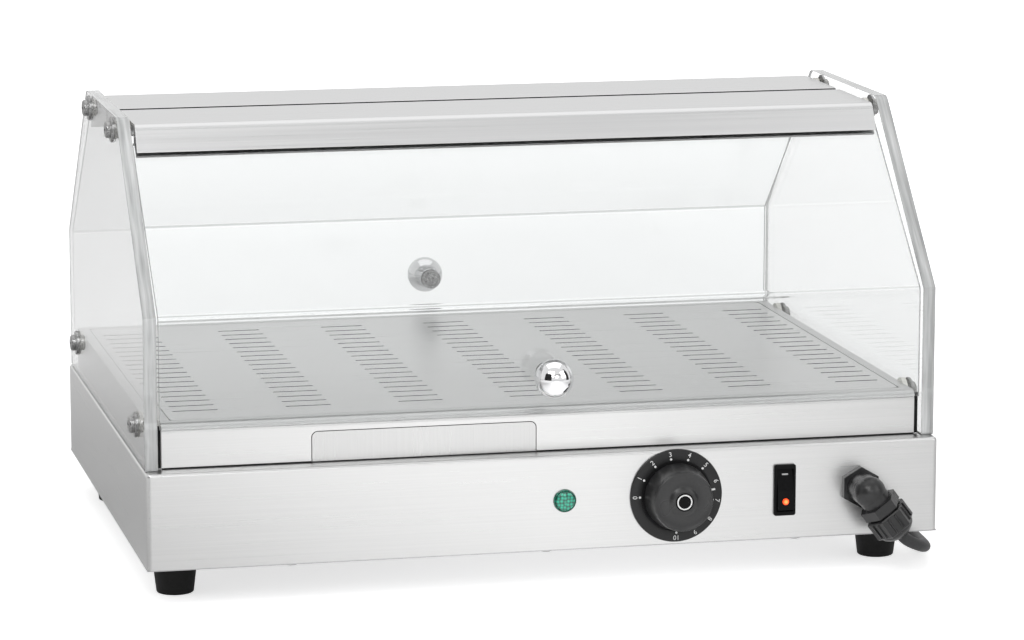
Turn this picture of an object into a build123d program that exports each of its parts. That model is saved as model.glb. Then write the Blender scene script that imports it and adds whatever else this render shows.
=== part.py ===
from build123d import *
import math
import os

os.makedirs("parts", exist_ok=True)

# Driving sizes in millimetres: X to the right, the front at -Y, Z up, the floor at zero
width = 500
depth = 368
foot_height = 25
casing_height = 60
sheet = 1.2
deck_rise = 28
panel_thickness = 8
panel_depth = 352
panel_rise = 202
panel_top_depth = 144
bend_rise = 94
flap_thickness = 4
running_gap = 0.08
body_gap = 0.3

# Heights and half sizes worked out from them
casing_top = foot_height + casing_height
deck_top = casing_top + deck_rise
panel_top = casing_top + panel_rise
bend_z = casing_top + bend_rise
front = -depth / 2
panel_outer = width / 2 - 0.5
panel_inner = panel_outer - panel_thickness
spacer_length = 3
deck_half_x = panel_inner - spacer_length
deck_half_y = panel_depth / 2 - 5.5
front_inner = front + sheet

# Deck, tray and slots
deck_wall = 1.5
deck_bend = 6
tray_half_x = deck_half_x - 7
tray_half_y = deck_half_y - 12.5
tray_gap = 0.5
slot_length = 28
slot_width = 2
slot_columns = 7
slot_rows = 18
slot_pitch_x = 70.7
slot_pitch_y = 15.5

# Water pan in its notch
pan_left = -146
pan_right = -6
pan_plate_top = casing_top + 19
pan_depth = 209
pan_height = 14
pan_clear = 2

# Flaps and their heads
flap_half_x = panel_inner - 1.5
head_top = panel_top - 4
head_edge = 3.5
head_front = -75.2
head_nose = -84.5
head_nose_z = head_top - 16.5
head_sheet = 2
pivot_y = -54
pivot_z = head_top - 5.5
pivot_radius = 2.5
flap_bottom = deck_top - 3
flap_face = -175.5
knob_z = 135
ball_radius = 12
ball_y = flap_face - 18

# Fasteners
screw_head_radius = 5.25
screw_head = 3.3
washer_radius = 8
washer = 1.6
panel_screw_y = 140
panel_screw_z = casing_top + 22.5

# Controls on the front wall
control_z = 56.3
dial_x = 80
bezel_radius = 29.3
bezel = 2
dial_radius = 20.8
dial_taper = 2
dial_front = front - 20
dish_radius = 10.3
dish_depth = 1.3
cap_radius = 6.3
shaft_radius = 3
pilot_x = 9.2
pilot_radius = 7.25
switch_x = 150
switch_width = 14
switch_height = 32.5
switch_lip = 2
rocker_pivot_y = front + 0.5
rocker_radius = 13.2

# Cable gland
gland_x = 198.7
gland_flats = 22.5
nut_flats = 24
elbow_y = front - 20.5
outlet = Vector(0.6, 0, -0.8)
collar_span = (8, 14.5)
nut_span = (16, 29)
gland_end = 34

# Cord, its coil and the plug
cord_radius = 3.75
cord_floor_z = cord_radius + 0.2
coil_z = cord_radius + 0.9
coil_pitch = 2 * cord_radius + 0.7
coil_inner = 29
coil_turns = 4.25
coil_start_x = 262
coil_centre_y = 250
plug_radius = 18


def block(x0, x1, y0, y1, z0, z1):
    return Pos((x0 + x1) / 2, (y0 + y1) / 2, (z0 + z1) / 2) * Box(x1 - x0, y1 - y0, z1 - z0)


def rod(start, end, radius, end_radius=None):
    start = Vector(*start)
    along = Vector(*end) - start
    place = Plane(origin=start, z_dir=along)
    low = (Align.CENTER, Align.CENTER, Align.MIN)
    if end_radius is None:
        return place * Cylinder(radius, along.length, align=low)
    return place * Cone(radius, end_radius, along.length, align=low)


def hex_bar(start, end, flats):
    start = Vector(*start)
    along = Vector(*end) - start
    place = Plane(origin=start, z_dir=along)
    outline = RegularPolygon(flats / 2, 6, major_radius=False)
    return extrude(place * outline, along.length)


def along_x(face, x0, x1):
    return Pos(x0, 0, 0) * extrude(Plane.YZ * face, x1 - x0, dir=(1, 0, 0))


def polygon(*points):
    return make_face(Polyline(*points, close=True))


def joined(pieces):
    whole = pieces[0]
    for piece in pieces[1:]:
        whole = whole + piece
    return whole


def mirrored_pair(shape, plane):
    return [shape, mirror(shape, plane)]


def save(name, shape):
    if isinstance(shape, list):
        solids = [solid for piece in shape for solid in piece.solids()]
        shape = Compound(children=solids)
    export_step(shape, f"parts/{name}.step")


# A pan-head screw along X with a cross recess, its head towards +X
def side_screw(x_seat, y, z, reach):
    head = rod((x_seat, y, z), (x_seat + screw_head, y, z), screw_head_radius)
    head = fillet(head.edges().filter_by(GeomType.CIRCLE).sort_by(Axis.X)[-1], 1.5)
    recess_x = x_seat + screw_head - 1.8
    for wide, tall in ((5.4, 1.1), (1.1, 5.4)):
        head -= block(recess_x, x_seat + 5, y - wide / 2, y + wide / 2, z - tall / 2, z + tall / 2)
    return head + rod((x_seat, y, z), (x_seat - reach, y, z), pivot_radius)


# The base: folded casing, floor plate, screws and feet
def base_casing():
    low = foot_height
    shell = block(-width / 2, width / 2, front, -front, low, casing_top)
    shell = fillet(shell.edges().filter_by(Axis.Z), 3)
    shell = fillet(shell.edges().group_by(Axis.Z)[-1], 2)
    inside = width / 2 - sheet
    shell -= block(-inside, inside, front_inner, -front_inner, low, casing_top - sheet)
    flange_z = low + sheet + body_gap
    flange = block(-inside, inside, front_inner, -front_inner, flange_z, flange_z + sheet)
    opening = inside - 16
    flange -= block(-opening, opening, front_inner + 16, -front_inner - 16, flange_z, flange_z + sheet)
    shell = shell + flange
    for x, radius in ((dial_x, 5), (pilot_x, 6), (gland_x, 10.1)):
        shell -= rod((x, front - 1, control_z), (x, front + 4, control_z), radius)
    shell -= block(switch_x - 6.3, switch_x + 6.3, front - 1, front + 4, control_z - 14.6, control_z + 14.6)
    for x, y in element_ends():
        shell -= rod((x, y, casing_top - 4), (x, y, casing_top + 1), 6.1)
    for x, y in plate_screw_places():
        shell -= rod((x, y, low + 1), (x, y, low + 4), 2)
    return shell - rod((bulb_x, bulb_turn_y, casing_top - 4), (bulb_x, bulb_turn_y, casing_top + 1), 3)


def plate_screw_places():
    return [(x, y) for x in (-160, 0, 160) for y in (-172, 172)] + [(-238, 0), (238, 0)]


def base_plate():
    half_x = width / 2 - sheet - body_gap
    half_y = -front_inner - body_gap
    plate = block(-half_x, half_x, -half_y, half_y, foot_height, foot_height + sheet)
    vent = Pos(0, 0, foot_height) * Box(30, 4, 6)
    vents = [Pos(x, y, 0) * vent for x in (-120, 120) for y in range(-60, 61, 15)]
    plate = plate - vents
    holes = plate_screw_places() + foot_places()
    return plate - [Pos(x, y, foot_height) * Cylinder(2.6, 6) for x, y in holes]


def base_plate_screws():
    screws = []
    for x, y in plate_screw_places():
        head = Pos(x, y, foot_height - 1.2) * Cylinder(4, 2.4)
        screws.append(head + rod((x, y, foot_height), (x, y, foot_height + 7), 2))
    return screws


def foot_places():
    return [(x, y) for y in (-134, 134) for x in (-226, 226)]


def foot(x, y):
    cone = rod((x, y, 0), (x, y, foot_height), 11.5, 14.5)
    cone = fillet(cone.edges().group_by(Axis.Z)[0], 1.2)
    cone -= rod((x, y, -1), (x, y, 12), 5.4)
    return cone - rod((x, y, 0), (x, y, foot_height + 1), 2.6)


def foot_screws():
    screws = []
    for x, y in foot_places():
        shank = rod((x, y, 12), (x, y, foot_height + 8), 2.5)
        head = rod((x, y, 8.6), (x, y, 12), 4.8)
        nut = hex_bar((x, y, foot_height + sheet), (x, y, foot_height + sheet + 4), 8)
        screws.append(joined([shank, head, nut]))
    return screws


# The raised deck with its lift-out slotted tray
def deck_frame():
    box = block(-deck_half_x, deck_half_x, -deck_half_y, deck_half_y, casing_top, deck_top)
    long_edges = box.edges().filter_by(Axis.X).group_by(Axis.Z)[-1]
    box = fillet(long_edges, deck_bend)
    top_wall = deck_wall + sheet + body_gap
    inner_x = deck_half_x - deck_wall
    inner_y = deck_half_y - deck_wall
    box -= block(-inner_x, inner_x, -inner_y, inner_y, casing_top - 1, deck_top - top_wall - 3)
    box -= block(-inner_x, inner_x, 8 - inner_y, inner_y - 8, casing_top, deck_top - top_wall)
    seat_x = tray_half_x + tray_gap
    seat_y = tray_half_y + tray_gap
    seat_z = deck_top - sheet - body_gap
    box -= block(-seat_x, seat_x, -seat_y, seat_y, seat_z, deck_top + 1)
    well_x = tray_half_x - 3.5
    well_y = tray_half_y - 8
    box -= block(-well_x, well_x, -well_y, well_y, casing_top, deck_top + 1)
    notch = block(pan_left - tray_gap, pan_right + tray_gap, -deck_half_y - 1, -inner_y + 1,
                  casing_top - 10, pan_plate_top + tray_gap)
    notch = fillet(notch.edges().filter_by(Axis.Y).group_by(Axis.Z)[-1], 4)
    box -= notch
    for x in (-deck_half_x, deck_half_x):
        for y in (-panel_screw_y, panel_screw_y):
            box -= rod((x - 3, y, panel_screw_z), (x + 3, y, panel_screw_z), 2.7)
            box -= rod((x * 0.96, y, panel_screw_z), (math.copysign(inner_x, x), y, panel_screw_z), 4)
    return box


def slotted_tray():
    top = deck_top
    tray = block(-tray_half_x, tray_half_x, -tray_half_y, tray_half_y, top - sheet, top)
    tray = fillet(tray.edges().filter_by(Axis.Z), 4)
    slots = []
    for column in range(slot_columns):
        x = (column - (slot_columns - 1) / 2) * slot_pitch_x
        for row in range(slot_rows):
            y = (row - (slot_rows - 1) / 2) * slot_pitch_y
            slots.append(Pos(x, y, top) * Box(slot_length, slot_width, 4))
    return tray - slots


def water_pan():
    left = pan_left + 4
    right = pan_right - 4
    low = casing_top + pan_clear
    start = -deck_half_y + sheet
    end = -deck_half_y + pan_depth
    pan = block(left, right, start, end, low, low + pan_height)
    pan = fillet(pan.edges().filter_by(Axis.Z), 2)
    pan -= block(left + 1, right - 1, start + 1, end - 1, low + 1, low + pan_height + 1)
    plate = block(pan_left, pan_right, -deck_half_y, start, low, pan_plate_top)
    plate = fillet(plate.edges().filter_by(Axis.Y).group_by(Axis.Z)[-1], 3.5)
    return pan + plate


def pan_runner(side):
    edge = pan_left + 4 if side < 0 else pan_right - 4
    outer = edge + side * 2
    near = edge + side * 0.8
    far = edge - side * 8
    start = 12 - deck_half_y
    end = pan_depth - deck_half_y + 6
    wall = block(min(near, outer), max(near, outer), start, end, casing_top, casing_top + 12)
    shelf = block(min(far, outer), max(far, outer), start, end, casing_top, casing_top + pan_clear - 0.4)
    return wall + shelf


# Heating elements under the tray, and the sensor of the thermostat
element_radius = 4
element_z = casing_top + 13
element_legs = ((-215, -165), (60, 200))
element_y = 140
element_low = 60
bulb_x = 24
bulb_turn_y = -100
bulb_z = casing_top + 10


def element_ends():
    return [(x, element_y) for pair in element_legs for x in pair]


def heating_element(legs):
    near, far = legs
    points = [
        (near, element_y, element_low),
        (near, element_y, element_z),
        (near, -element_y, element_z),
        (far, -element_y, element_z),
        (far, element_y, element_z),
        (far, element_y, element_low),
    ]
    path = FilletPolyline(*points, radius=12)
    section = Plane(origin=points[0], z_dir=(0, 0, 1)) * Circle(element_radius)
    return sweep(section, path=path)


def element_bushes():
    bushes = []
    for x, y in element_ends():
        body = rod((x, y, casing_top - 7), (x, y, casing_top), 6)
        flange = rod((x, y, casing_top), (x, y, casing_top + 1.6), 8.5)
        bore = rod((x, y, casing_top - 8), (x, y, casing_top + 8), element_radius + 0.05)
        bushes.append(body + flange - bore)
    return bushes


def saddle(x, y, z, radius):
    stand = block(x - radius - 3, x + radius + 3, y - 5, y + 5, casing_top, z + radius + 1.5)
    stand = fillet(stand.edges().filter_by(Axis.Y).group_by(Axis.Z)[-1], 3)
    return stand - rod((x, y - 6, z), (x, y + 6, z), radius + 0.05)


def element_saddles():
    legs = [x for pair in element_legs for x in pair]
    return [saddle(x, y, element_z, element_radius) for x in legs for y in (-70, 70)]


def sensor_bulb():
    points = [
        (dial_x, front + 29, control_z),
        (dial_x, front + 55, control_z),
        (bulb_x, bulb_turn_y, control_z + 8),
        (bulb_x, bulb_turn_y, bulb_z),
        (bulb_x, bulb_turn_y + 42, bulb_z),
    ]
    path = FilletPolyline(*points, radius=[9, 8, 8])
    section = Plane(origin=points[0], z_dir=(0, 1, 0)) * Circle(1)
    bulb = rod((bulb_x, bulb_turn_y + 40, bulb_z), (bulb_x, bulb_turn_y + 110, bulb_z), 3)
    return sweep(section, path=path) + bulb


# Thermostat, dial and shaft
def thermostat_body():
    body = block(dial_x - 18, dial_x + 18, front_inner, front + 29, control_z - 18, control_z + 18)
    body = fillet(body.edges().filter_by(Axis.Y), 3)
    body += rod((dial_x, front_inner, control_z), (dial_x, front - bezel + 0.5, control_z), 4.8)
    return body - rod((dial_x, front - 4, control_z), (dial_x, front + 10, control_z), shaft_radius + 0.06)


def dial_bezel():
    disc = rod((dial_x, front, control_z), (dial_x, front - bezel, control_z), bezel_radius)
    disc = chamfer(disc.edges().group_by(Axis.Y)[0], 0.8)
    return disc - rod((dial_x, front + 1, control_z), (dial_x, front - 5, control_z), 5)


def dial_knob():
    low = front - bezel - 0.6
    face = dial_front
    knob = rod((dial_x, low, control_z), (dial_x, face, control_z), dial_radius, dial_radius - dial_taper)
    knob = fillet(knob.edges().group_by(Axis.Y)[0], 1.6)
    knob -= rod((dial_x, face, control_z), (dial_x, face + dish_depth, control_z), dish_radius, cap_radius)
    knob -= rod((dial_x, face, control_z), (dial_x, face + 3, control_z), cap_radius)
    return knob - rod((dial_x, low + 1, control_z), (dial_x, face + 6, control_z), shaft_radius)


def dial_cap():
    seat = dial_front + 3
    cap = rod((dial_x, seat, control_z), (dial_x, dial_front + 0.8, control_z), cap_radius)
    return fillet(cap.edges().group_by(Axis.Y)[0], 0.4)


def thermostat_shaft():
    return rod((dial_x, front + 9.5, control_z), (dial_x, dial_front + 6.5, control_z), shaft_radius)


# Pilot lamp and rocker switch
def pilot_lens():
    lens = rod((pilot_x, front, control_z), (pilot_x, front - 3.4, control_z), pilot_radius)
    return fillet(lens.edges().group_by(Axis.Y)[0], 2)


def pilot_body():
    stem = rod((pilot_x, front, control_z), (pilot_x, front + 22, control_z), 5.8)
    nut = hex_bar((pilot_x, front_inner, control_z), (pilot_x, front_inner + 4, control_z), 15)
    return stem + nut


def switch_pocket():
    return block(switch_x - 5.4, switch_x + 5.4, front - 5, front + 9, control_z - 13.6, control_z + 13.6)


def switch_frame():
    half_w = switch_width / 2
    half_h = switch_height / 2
    lip = block(switch_x - half_w, switch_x + half_w, front - switch_lip, front,
                control_z - half_h, control_z + half_h)
    lip = fillet(lip.edges().filter_by(Axis.Y), 1.5)
    lip = chamfer(lip.edges().group_by(Axis.Y)[0], 0.5)
    collar = block(switch_x - 6.2, switch_x + 6.2, front, front + 5, control_z - 14.5, control_z + 14.5)
    pin = rod((switch_x - 6, rocker_pivot_y, control_z), (switch_x + 6, rocker_pivot_y, control_z), 1.26)
    return lip + collar - switch_pocket() - pin


def switch_body():
    body = block(switch_x - 6.2, switch_x + 6.2, front + 5, front + 24, control_z - 14.5, control_z + 14.5)
    tab = block(switch_x - 0.4, switch_x + 0.4, front + 24, front + 31, control_z - 3, control_z + 3)
    body = joined([body] + [Pos(0, 0, dz) * tab for dz in (-9, 0, 9)])
    return body - switch_pocket()


def switch_rocker():
    pivot = rocker_pivot_y
    outline = polygon(
        (pivot - 0.7, control_z + 13.2),
        (pivot - 3.7, control_z),
        (pivot - 4.2, control_z - 13.2),
        (pivot + 4.5, control_z - 9),
        (pivot + 4.5, control_z + 9),
    )
    rocker = along_x(outline, switch_x - 5.1, switch_x + 5.1)
    swing = rod((switch_x - 6, pivot, control_z), (switch_x + 6, pivot, control_z), rocker_radius)
    rocker = rocker & swing
    rocker -= rocker_lamp()
    return rocker + rod((switch_x - 5.8, pivot, control_z), (switch_x + 5.8, pivot, control_z), 1.2)


def rocker_lamp():
    y = rocker_pivot_y - 3.8
    return rod((switch_x, y + 0.4, control_z - 7), (switch_x, y - 0.5, control_z - 7), 2)


# Elbow cable gland and the lead inside the base
elbow = Vector(gland_x + 0.6, elbow_y, control_z + 0.2)


def on_outlet(distance):
    place = elbow + outlet * distance
    return (place.X, place.Y, place.Z)


def gland_body():
    flange = hex_bar((gland_x, front, control_z), (gland_x, front - 5, control_z), gland_flats)
    neck = rod((gland_x, front - 4, control_z), (elbow.X, elbow.Y, elbow.Z), 9.5)
    ball = Pos(elbow) * Sphere(10)
    thread = rod((gland_x, front, control_z), (gland_x, front + 12, control_z), 10)
    tube = rod(on_outlet(0), on_outlet(nut_span[0]), 9.4)
    collar = hex_bar(on_outlet(collar_span[0]), on_outlet(collar_span[1]), gland_flats)
    whole = joined([flange, neck, ball, thread, tube, collar])
    whole -= rod((gland_x, front + 13, control_z), (gland_x, front - 8, control_z), 5)
    return whole - rod(on_outlet(6), on_outlet(nut_span[0] + 1), 6.2)


# The dome nut has six flats, each with a band of fine grip ribs, and a rounded nose
def gland_nut():
    start, end = nut_span
    barrel = hex_bar(on_outlet(start), on_outlet(end), nut_flats)
    barrel = barrel & rod(on_outlet(start - 1), on_outlet(end + 1), nut_flats / 2 + 1.2)
    place = Plane(origin=on_outlet(0), z_dir=outlet)
    middle = (start + end) / 2
    flat = math.pi / 3
    for face in range(6):
        for offset in (-4.5, -2.7, -0.9, 0.9, 2.7, 4.5):
            angle = flat * face + flat / 2
            x = nut_flats / 2 * math.cos(angle) - offset * math.sin(angle)
            y = nut_flats / 2 * math.sin(angle) + offset * math.cos(angle)
            barrel += place * (Pos(x, y, middle) * Cylinder(0.45, end - start - 3))
    dome = rod(on_outlet(end), on_outlet(end + 3), nut_flats / 2, 10.2)
    dome += rod(on_outlet(end + 3), on_outlet(gland_end), 10.2, 7.2)
    return barrel + dome - rod(on_outlet(start - 1), on_outlet(gland_end + 1), 6.2)


def gland_seal():
    ring = rod(on_outlet(nut_span[0]), on_outlet(gland_end - 0.4), 6.2)
    return ring - rod(on_outlet(nut_span[0] - 1), on_outlet(gland_end + 1), cord_radius + 0.05)


def gland_locknut():
    nut = hex_bar((gland_x, front_inner, control_z), (gland_x, front_inner + 5, control_z), nut_flats)
    return nut - rod((gland_x, front, control_z), (gland_x, front + 9, control_z), 10)


def inner_lead():
    points = [
        (gland_x, front + 12.5, control_z),
        (gland_x, front + 60, control_z),
        (gland_x - 12, -40, control_z - 12),
        (158, 20, foot_height + 10),
        (158, 38, foot_height + 10),
    ]
    path = FilletPolyline(*points, radius=[40, 60, 20])
    section = Plane(origin=points[0], z_dir=(0, 1, 0)) * Circle(cord_radius)
    return sweep(section, path=path)


def terminal_block():
    low = foot_height + sheet
    body = block(134, 182, 38.2, 58, low, low + 17)
    for index in range(4):
        body -= Pos(140 + index * 12, 48, low + 15) * Cylinder(2.6, 6)
    return body


def earth_stud():
    low = foot_height + sheet
    bolt = rod((205, 80, low), (205, 80, low + 16), 3)
    return bolt + hex_bar((205, 80, low), (205, 80, low + 5), 10)


# Clear side panels with their fasteners
def side_panel(side):
    half = panel_depth / 2
    top = panel_top_depth / 2
    outline = polygon(
        (-half, casing_top), (half, casing_top), (half, bend_z),
        (top, panel_top), (-top, panel_top), (-half, bend_z),
    )
    corners = outline.vertices().group_by(Axis.Y)
    outline = fillet(corners[-1], 9)
    outline = fillet(outline.vertices().group_by(Axis.Y)[0], 2)
    x0, x1 = sorted((side * panel_inner, side * panel_outer))
    panel = along_x(outline, x0, x1)
    for y, z in panel_holes() + pivot_holes():
        panel -= rod((x0 - 1, y, z), (x1 + 1, y, z), 2.6)
    return panel


def panel_holes():
    return [(y, panel_screw_z) for y in (-panel_screw_y, panel_screw_y)]


def pivot_holes():
    return [(y, pivot_z) for y in (pivot_y, -pivot_y)]


def both_sides(shapes):
    return [piece for shape in shapes for piece in mirrored_pair(shape, Plane.YZ)]


def washers(places):
    rings = []
    for y, z in places:
        ring = rod((panel_outer, y, z), (panel_outer + washer, y, z), washer_radius)
        ring = chamfer(ring.edges().group_by(Axis.X)[-1], 0.4)
        rings.append(ring - rod((panel_outer - 1, y, z), (panel_outer + 3, y, z), 2.6))
    return both_sides(rings)


def screws(places, reach):
    seat = panel_outer + washer
    return both_sides([side_screw(seat, y, z, reach) for y, z in places])


def spacers(places, gap, radius):
    rings = []
    for y, z in places:
        ring = rod((deck_half_x + gap, y, z), (panel_inner, y, z), radius)
        rings.append(ring - rod((deck_half_x - 1, y, z), (panel_inner + 1, y, z), 2.6))
    return both_sides(rings)


def rivet_nuts():
    nuts = []
    inner = deck_half_x - deck_wall
    for y, z in panel_holes():
        nut = rod((inner - 7, y, z), (inner, y, z), 4)
        nuts.append(nut - rod((inner - 8, y, z), (inner + 1, y, z), pivot_radius))
    return both_sides(nuts)


# The front flap: bent clear sheet, pivoting head, ball knob. The rear one is its mirror image.
nose_gap = 2.9
slope = math.atan2(head_nose_z - bend_z, head_nose + nose_gap - flap_face)
up_slope = Vector(math.cos(slope), math.sin(slope))
inward = Vector(math.sin(slope), -math.cos(slope))


def flap_sheet():
    bend = Vector(flap_face, bend_z)
    end = bend + up_slope * ((head_nose_z + 5 - bend_z) / math.sin(slope))
    corner_shift = flap_thickness * math.tan(slope / 2 - math.pi / 4)
    bend_inside = (flap_face + flap_thickness, bend_z + corner_shift)
    end_inside = end + inward * flap_thickness
    outline = polygon(
        (flap_face, flap_bottom),
        (flap_face, bend_z),
        (end.X, end.Y),
        (end_inside.X, end_inside.Y),
        bend_inside,
        (flap_face + flap_thickness, flap_bottom),
    )
    near = outline.vertices().sort_by_distance((flap_face, bend_z, 0))
    outline = fillet(near[0], 7)
    near = outline.vertices().sort_by_distance((*bend_inside, 0))
    outline = fillet(near[0], 3)
    sheet_solid = along_x(outline, -flap_half_x, flap_half_x)
    return sheet_solid - rod((0, flap_face - 1, knob_z), (0, flap_face + 6, knob_z), 2.2)


def flap_head():
    wall = head_sheet / math.sin(math.atan2(head_top - head_nose_z, head_front - head_nose))
    cover = polygon(
        (-head_edge, head_top),
        (head_front, head_top),
        (head_nose, head_nose_z),
        (head_nose + wall, head_nose_z),
        (head_front + wall * 0.62, head_top - head_sheet),
        (-head_edge - head_sheet, head_top - head_sheet),
        (-head_edge - head_sheet, head_top - 12),
        (-head_edge, head_top - 12),
    )
    base = Vector(flap_face, bend_z) + inward * (flap_thickness + 0.1)
    lip_low = base + up_slope * ((head_nose_z - 3.8 - base.Y) / math.sin(slope))
    lip_high = lip_low + up_slope * 12
    low_back = lip_low + inward * 1.6
    high_back = lip_high + inward * 1.6
    web_y = high_back.X
    lip = polygon(
        (lip_low.X, lip_low.Y),
        (lip_high.X, lip_high.Y),
        (web_y - 1.6, lip_high.Y),
        (web_y - 1.6, head_top - 1),
        (web_y, head_top - 1),
        (high_back.X, high_back.Y),
        (low_back.X, low_back.Y),
    )
    boss = Pos(pivot_y, pivot_z) * Circle(4.6)
    bore = Pos(pivot_y, pivot_z) * Circle(pivot_radius + running_gap)
    return along_x(cover + lip + boss - bore, -deck_half_x, deck_half_x)


def flap_knob():
    ball = Pos(0, ball_y, knob_z) * Sphere(ball_radius)
    foot_ring = rod((0, flap_face, knob_z), (0, flap_face - 2, knob_z), 6.5)
    stem = rod((0, flap_face - 2, knob_z), (0, ball_y, knob_z), 4.8, 6)
    return joined([ball, foot_ring, stem])


def knob_screw():
    inside = flap_face + flap_thickness
    ring = rod((0, inside, knob_z), (0, inside + 1.2, knob_z), 6.5)
    head = rod((0, inside + 1.2, knob_z), (0, inside + 4, knob_z), 4.5)
    head = fillet(head.edges().group_by(Axis.Y)[-1], 1.2)
    for wide, tall in ((4.6, 1), (1, 4.6)):
        head -= block(-wide / 2, wide / 2, inside + 2.6, inside + 6, knob_z - tall / 2, knob_z + tall / 2)
    return joined([ring, head, rod((0, flap_face, knob_z), (0, inside, knob_z), 2.1)])


# Two arcs that leave one point along its heading and reach the next along its own
def biarc(start, heading, end, end_heading):
    span = end - start
    square = 2 * (heading.dot(end_heading) - 1)
    linear = -2 * span.dot(heading + end_heading)
    constant = span.dot(span)
    reach = (-linear - math.sqrt(linear ** 2 - 4 * square * constant)) / (2 * square)
    first = start + heading * reach
    second = end - end_heading * reach
    middle = (first + second) * 0.5
    return [
        TangentArc(start, middle, tangent=heading),
        TangentArc(middle, end, tangent=second - first),
    ]


# The coil winds in for half its turns, climbs a layer in half a turn, and winds out again
def coil_radius(turn):
    off = abs(turn - coil_turns / 2)
    if off < 0.25:
        return coil_inner + coil_pitch * (2 * off ** 2 + 0.125)
    return coil_inner + coil_pitch * off


def coil_height(turn):
    share = min(1, max(0, (turn - coil_turns / 2 + 0.25) / 0.5))
    return coil_z + coil_pitch * share * share * (3 - 2 * share)


coil_centre_x = coil_start_x - coil_radius(0)


def coil_point(turn):
    angle = 2 * math.pi * turn
    radius = coil_radius(turn)
    x = coil_centre_x + radius * math.cos(angle)
    y = coil_centre_y + radius * math.sin(angle)
    return Vector(x, y, coil_height(turn))


def coil_heading(turn):
    step = 0.001
    return (coil_point(turn + step) - coil_point(turn - step)).normalized()


coil_in = coil_point(0)
coil_in_heading = coil_heading(0)
coil_out = coil_point(coil_turns)
coil_out_heading = coil_heading(coil_turns)
coil_lead = 2 * cord_radius


def cord_coil():
    steps = round(coil_turns * 8)
    turns = [coil_turns * index / steps for index in range(steps + 1)]
    edges = [Line(coil_in - coil_in_heading * coil_lead, coil_in)]
    for before, after in zip(turns, turns[1:]):
        edges += biarc(coil_point(before), coil_heading(before), coil_point(after), coil_heading(after))
    edges.append(Line(coil_out, coil_out + coil_out_heading * coil_lead))
    path = Wire(edges)
    gaps = []
    samples = [coil_point(coil_turns * index / 400) for index in range(401)]
    for first in range(0, 401, 4):
        for second in range(first + 40, 401):
            gaps.append((samples[first] - samples[second]).length - 2 * cord_radius)
    print("coil length", round(path.length, 1), "least gap", round(min(gaps), 2))
    section = Plane(origin=path @ 0, z_dir=path % 0) * Circle(cord_radius)
    return sweep(section, path=path)


# A free stretch is straight runs joined by arcs as large as the runs allow
def cord_tube(points, label):
    points = [Vector(*point) for point in points]
    radii = []
    for before, corner, after in zip(points, points[1:], points[2:]):
        turn = math.radians((corner - before).get_angle(after - corner))
        run = min((corner - before).length, (after - corner).length)
        radii.append(0.45 * run / math.tan(turn / 2))
    path = FilletPolyline(*points, radius=radii)
    section = Plane(origin=points[0], z_dir=points[1] - points[0]) * Circle(cord_radius)
    tube = sweep(section, path=path)
    ratio = tube.volume / (math.pi * cord_radius ** 2 * path.length)
    print(label, "length", round(path.length, 1), "volume share", round(ratio, 4))
    print(label, "radii", [round(radius, 1) for radius in radii])
    return tube


cord_exit = on_outlet(gland_end)
coil_entry = coil_in - coil_in_heading * coil_lead
coil_before = coil_entry - coil_in_heading * 34
cord_route = [
    cord_exit,
    on_outlet(gland_end + 4),
    (228, -203.3, 22.6),
    (234.6, -200.2, 19.6),
    (239.5, -193.5, 17.6),
    (243.6, -180, 14.8),
    (250.8, -157, 10),
    (258.3, -131, 5),
    (262, -96, 4.1),
    (263, -50, cord_floor_z),
    (261.2, 8, cord_floor_z),
    (263.8, 72, cord_floor_z),
    (261.6, 130, cord_floor_z),
    (262.9, 173, cord_floor_z),
    (coil_before.X, coil_before.Y, coil_before.Z),
    (coil_entry.X, coil_entry.Y, coil_entry.Z),
]

tail_start = coil_out + coil_out_heading * coil_lead
tail_next = tail_start + coil_out_heading * 9
plug_y = tail_next.Y + 2.4
plug_x = tail_next.X - 37
plug_z = plug_radius + 0.3
tail_route = [
    (tail_start.X, tail_start.Y, tail_start.Z),
    (tail_next.X, tail_next.Y, tail_next.Z),
    (tail_next.X - 13, tail_next.Y + 1.6, tail_next.Z + 2.2),
    (tail_next.X - 26, plug_y, plug_z - 0.6),
    (plug_x, plug_y, plug_z),
]


def coil_tie():
    low_turns = [index + 0.5 for index in range(int(coil_turns))]
    inner = min(coil_radius(turn) for turn in low_turns) - cord_radius - 0.6
    outer = max(coil_radius(turn) for turn in low_turns) + cord_radius + 0.6
    bottom = coil_z - cord_radius - 0.05
    top = coil_z + coil_pitch + cord_radius + 0.4
    band = 0.8
    x0 = coil_centre_x - outer
    x1 = coil_centre_x - inner
    y0 = coil_centre_y - 5
    y1 = coil_centre_y + 5
    loop = block(x0 - band, x1 + band, y0, y1, bottom - band, top + band)
    loop = fillet(loop.edges().filter_by(Axis.Y), 1.5)
    return loop - block(x0, x1, y0 - 1, y1 + 1, bottom, top)


def on_plug(distance):
    return (plug_x - distance, plug_y, plug_z)


def plug_body():
    sleeve = rod(on_plug(-0.2), on_plug(24), 5.2, 7)
    shoulder = rod(on_plug(22), on_plug(34), 9, plug_radius)
    crown = rod(on_plug(34), on_plug(49), plug_radius)
    crown = fillet(crown.edges().group_by(Axis.X)[0], 2)
    body = joined([sleeve, shoulder, crown])
    for side in (-1, 1):
        body -= Pos(plug_x - 44, plug_y, plug_z + side * plug_radius) * Box(14, 9, 5)
    return body - rod(on_plug(-1), on_plug(0), 9)


def plug_pins():
    pins = []
    for side in (-1, 1):
        start = (plug_x - 49, plug_y, plug_z + side * 9.5)
        end = (plug_x - 68, plug_y, plug_z + side * 9.5)
        pin = rod(start, end, 2.4)
        pins.append(fillet(pin.edges().group_by(Axis.X)[0], 1))
    return pins


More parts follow.
